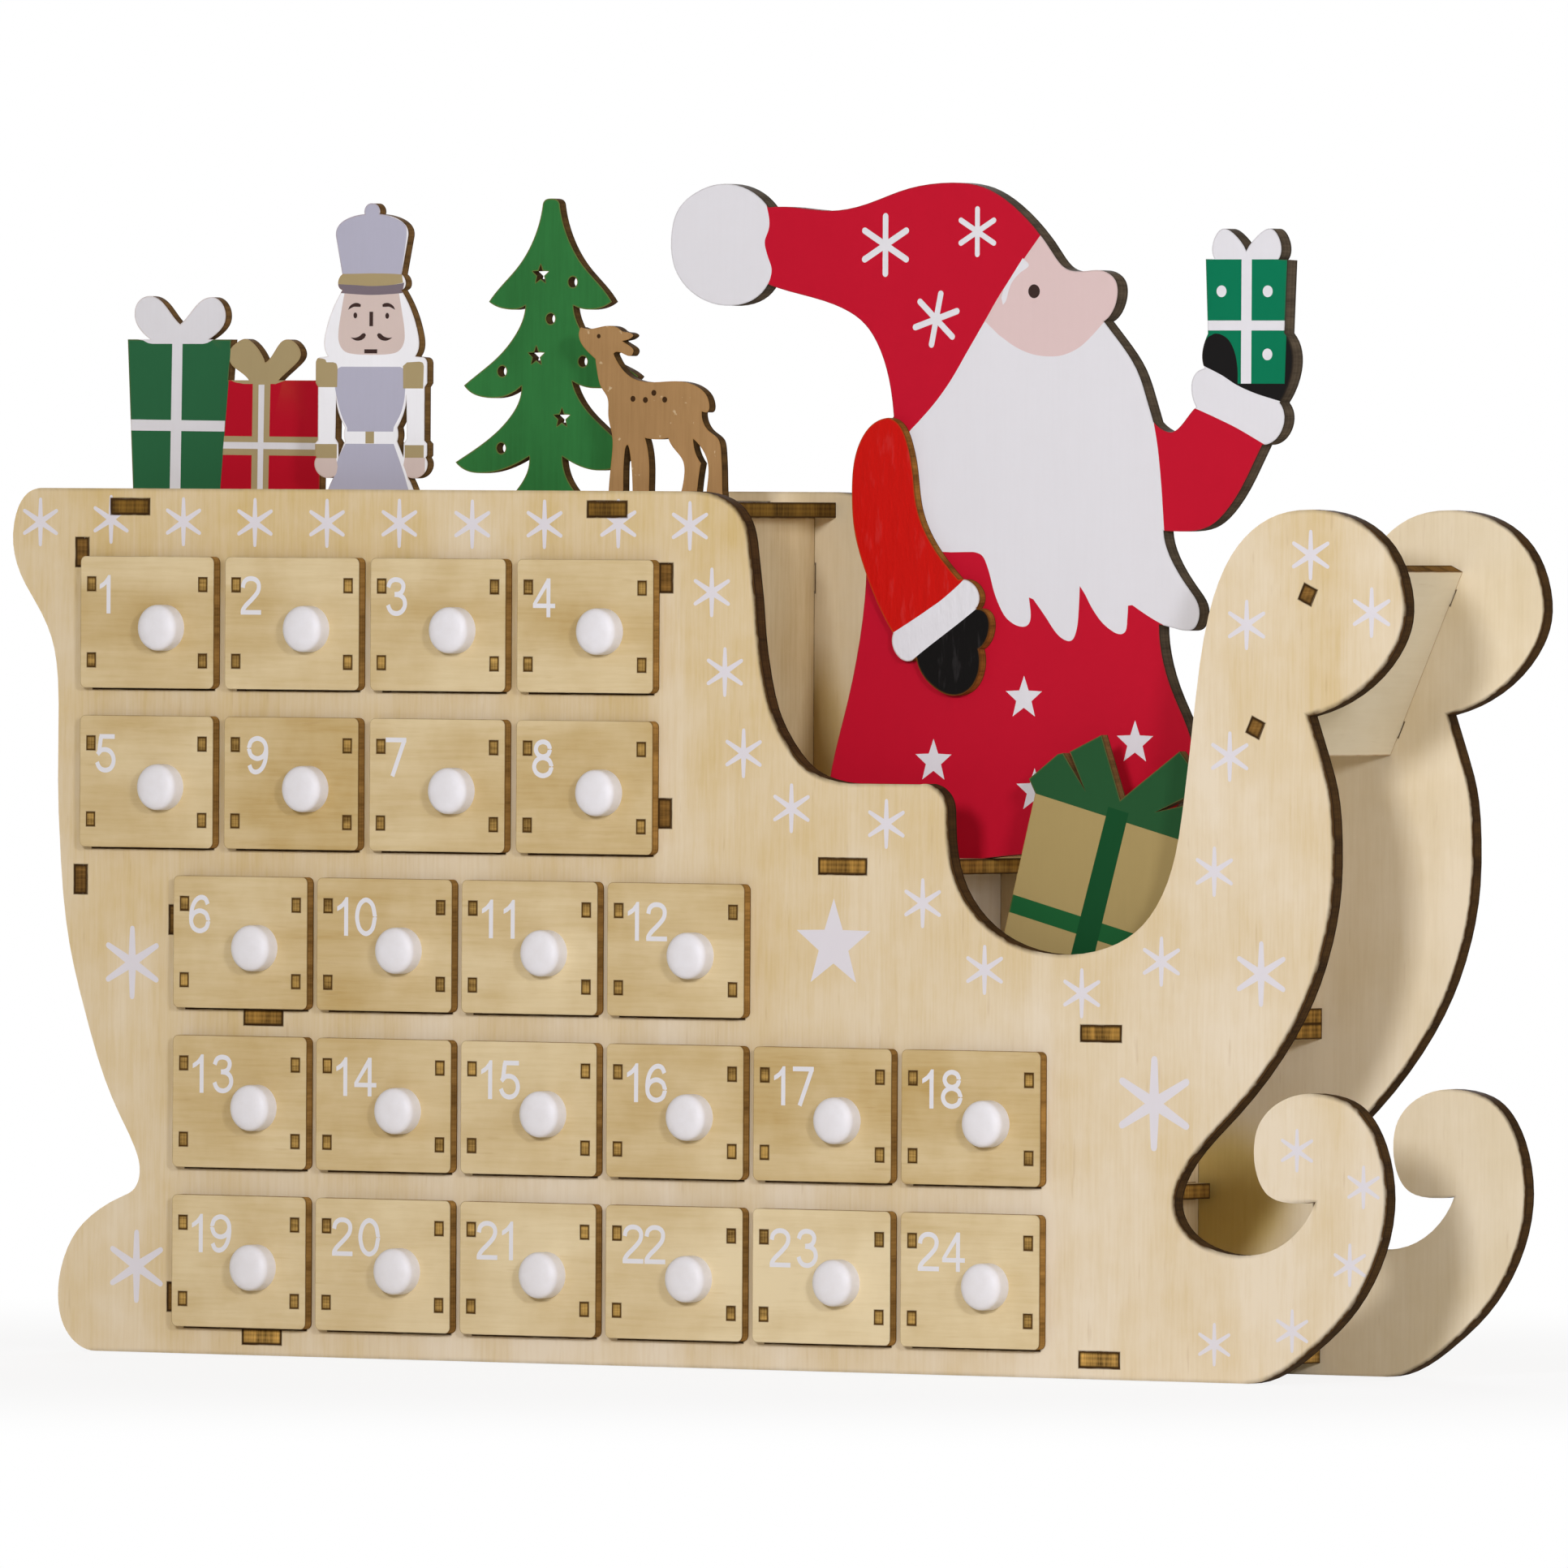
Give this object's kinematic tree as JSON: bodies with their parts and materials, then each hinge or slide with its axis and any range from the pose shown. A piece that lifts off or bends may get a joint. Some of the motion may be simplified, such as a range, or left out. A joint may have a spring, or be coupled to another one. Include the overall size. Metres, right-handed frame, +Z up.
{
  "type": "advent calendar",
  "caption": "Plywood sleigh-shaped advent calendar with numbered pull-out drawers, a large seated gift bringer and flat festive figures standing on top.",
  "frame": {"origin": "middle of the object's footprint, on the surface it stands on", "axes": "+X along the sleigh to its front scrolls, +Y from the drawers to the back panel, +Z up"},
  "size_m": [0.4446, 0.0817, 0.315],
  "materials": {
    "panel_ply": "bare birch plywood, laser-cut edges burnt brown, white printed snowflakes",
    "inner_ply": "bare birch plywood, laser-cut edges burnt brown",
    "drawer_ply": "bare plywood with a printed number and a white painted knob",
    "santa_paint": "matt printed red on plywood",
    "nutcracker_paint": "matt printed lavender on plywood",
    "tree_paint": "matt printed green on plywood",
    "deer_paint": "matt printed brown on plywood",
    "gift_paint": "matt printed green and red on plywood",
    "parcel_paint": "matt printed tan with a green bow on plywood"
  },
  "bodies": {
    "carcass": {"front_panel": "panel_ply", "back_panel": "panel_ply", "top_plate": "inner_ply", "upper_row_shelf": "inner_ply", "seat_plate": "inner_ply", "floor_plate": "inner_ply", "lower_row_shelf": "inner_ply", "bottom_plate": "inner_ply", "upper_left_wall": "inner_ply", "upper_right_wall": "inner_ply", "lower_left_wall": "inner_ply", "seat_wall": "inner_ply", "lower_right_wall": "inner_ply", "upper_dividers": "inner_ply", "middle_dividers": "inner_ply", "lower_dividers": "inner_ply", "footwell_board": "inner_ply", "dash_plate": "inner_ply", "santa_body": "santa_paint", "santa_arm": "santa_paint", "nutcracker": "nutcracker_paint", "fir_tree": "tree_paint", "reindeer": "deer_paint", "gift_pair": "gift_paint", "brown_gift": "parcel_paint"},
    "drawer_01": {"drawer_01": "drawer_ply"},
    "drawer_02": {"drawer_02": "drawer_ply"},
    "drawer_03": {"drawer_03": "drawer_ply"},
    "drawer_04": {"drawer_04": "drawer_ply"},
    "drawer_05": {"drawer_05": "drawer_ply"},
    "drawer_06": {"drawer_06": "drawer_ply"},
    "drawer_07": {"drawer_07": "drawer_ply"},
    "drawer_08": {"drawer_08": "drawer_ply"},
    "drawer_09": {"drawer_09": "drawer_ply"},
    "drawer_10": {"drawer_10": "drawer_ply"},
    "drawer_11": {"drawer_11": "drawer_ply"},
    "drawer_12": {"drawer_12": "drawer_ply"},
    "drawer_13": {"drawer_13": "drawer_ply"},
    "drawer_14": {"drawer_14": "drawer_ply"},
    "drawer_15": {"drawer_15": "drawer_ply"},
    "drawer_16": {"drawer_16": "drawer_ply"},
    "drawer_17": {"drawer_17": "drawer_ply"},
    "drawer_18": {"drawer_18": "drawer_ply"},
    "drawer_19": {"drawer_19": "drawer_ply"},
    "drawer_20": {"drawer_20": "drawer_ply"},
    "drawer_21": {"drawer_21": "drawer_ply"},
    "drawer_22": {"drawer_22": "drawer_ply"},
    "drawer_23": {"drawer_23": "drawer_ply"},
    "drawer_24": {"drawer_24": "drawer_ply"}
  },
  "joints": [
    {"name": "drawer_01_slide", "type": "slide", "parent": "carcass", "child": "drawer_01", "axis": [0, -1, 0], "range_m": [0, 0.05]},
    {"name": "drawer_02_slide", "type": "slide", "parent": "carcass", "child": "drawer_02", "axis": [0, -1, 0], "range_m": [0, 0.05]},
    {"name": "drawer_03_slide", "type": "slide", "parent": "carcass", "child": "drawer_03", "axis": [0, -1, 0], "range_m": [0, 0.05]},
    {"name": "drawer_04_slide", "type": "slide", "parent": "carcass", "child": "drawer_04", "axis": [0, -1, 0], "range_m": [0, 0.05]},
    {"name": "drawer_05_slide", "type": "slide", "parent": "carcass", "child": "drawer_05", "axis": [0, -1, 0], "range_m": [0, 0.05]},
    {"name": "drawer_06_slide", "type": "slide", "parent": "carcass", "child": "drawer_06", "axis": [0, -1, 0], "range_m": [0, 0.05]},
    {"name": "drawer_07_slide", "type": "slide", "parent": "carcass", "child": "drawer_07", "axis": [0, -1, 0], "range_m": [0, 0.05]},
    {"name": "drawer_08_slide", "type": "slide", "parent": "carcass", "child": "drawer_08", "axis": [0, -1, 0], "range_m": [0, 0.05]},
    {"name": "drawer_09_slide", "type": "slide", "parent": "carcass", "child": "drawer_09", "axis": [0, -1, 0], "range_m": [0, 0.05]},
    {"name": "drawer_10_slide", "type": "slide", "parent": "carcass", "child": "drawer_10", "axis": [0, -1, 0], "range_m": [0, 0.05]},
    {"name": "drawer_11_slide", "type": "slide", "parent": "carcass", "child": "drawer_11", "axis": [0, -1, 0], "range_m": [0, 0.05]},
    {"name": "drawer_12_slide", "type": "slide", "parent": "carcass", "child": "drawer_12", "axis": [0, -1, 0], "range_m": [0, 0.05]},
    {"name": "drawer_13_slide", "type": "slide", "parent": "carcass", "child": "drawer_13", "axis": [0, -1, 0], "range_m": [0, 0.05]},
    {"name": "drawer_14_slide", "type": "slide", "parent": "carcass", "child": "drawer_14", "axis": [0, -1, 0], "range_m": [0, 0.05]},
    {"name": "drawer_15_slide", "type": "slide", "parent": "carcass", "child": "drawer_15", "axis": [0, -1, 0], "range_m": [0, 0.05]},
    {"name": "drawer_16_slide", "type": "slide", "parent": "carcass", "child": "drawer_16", "axis": [0, -1, 0], "range_m": [0, 0.05]},
    {"name": "drawer_17_slide", "type": "slide", "parent": "carcass", "child": "drawer_17", "axis": [0, -1, 0], "range_m": [0, 0.05]},
    {"name": "drawer_18_slide", "type": "slide", "parent": "carcass", "child": "drawer_18", "axis": [0, -1, 0], "range_m": [0, 0.05]},
    {"name": "drawer_19_slide", "type": "slide", "parent": "carcass", "child": "drawer_19", "axis": [0, -1, 0], "range_m": [0, 0.05]},
    {"name": "drawer_20_slide", "type": "slide", "parent": "carcass", "child": "drawer_20", "axis": [0, -1, 0], "range_m": [0, 0.05]},
    {"name": "drawer_21_slide", "type": "slide", "parent": "carcass", "child": "drawer_21", "axis": [0, -1, 0], "range_m": [0, 0.05]},
    {"name": "drawer_22_slide", "type": "slide", "parent": "carcass", "child": "drawer_22", "axis": [0, -1, 0], "range_m": [0, 0.05]},
    {"name": "drawer_23_slide", "type": "slide", "parent": "carcass", "child": "drawer_23", "axis": [0, -1, 0], "range_m": [0, 0.05]},
    {"name": "drawer_24_slide", "type": "slide", "parent": "carcass", "child": "drawer_24", "axis": [0, -1, 0], "range_m": [0, 0.05]}
  ]
}
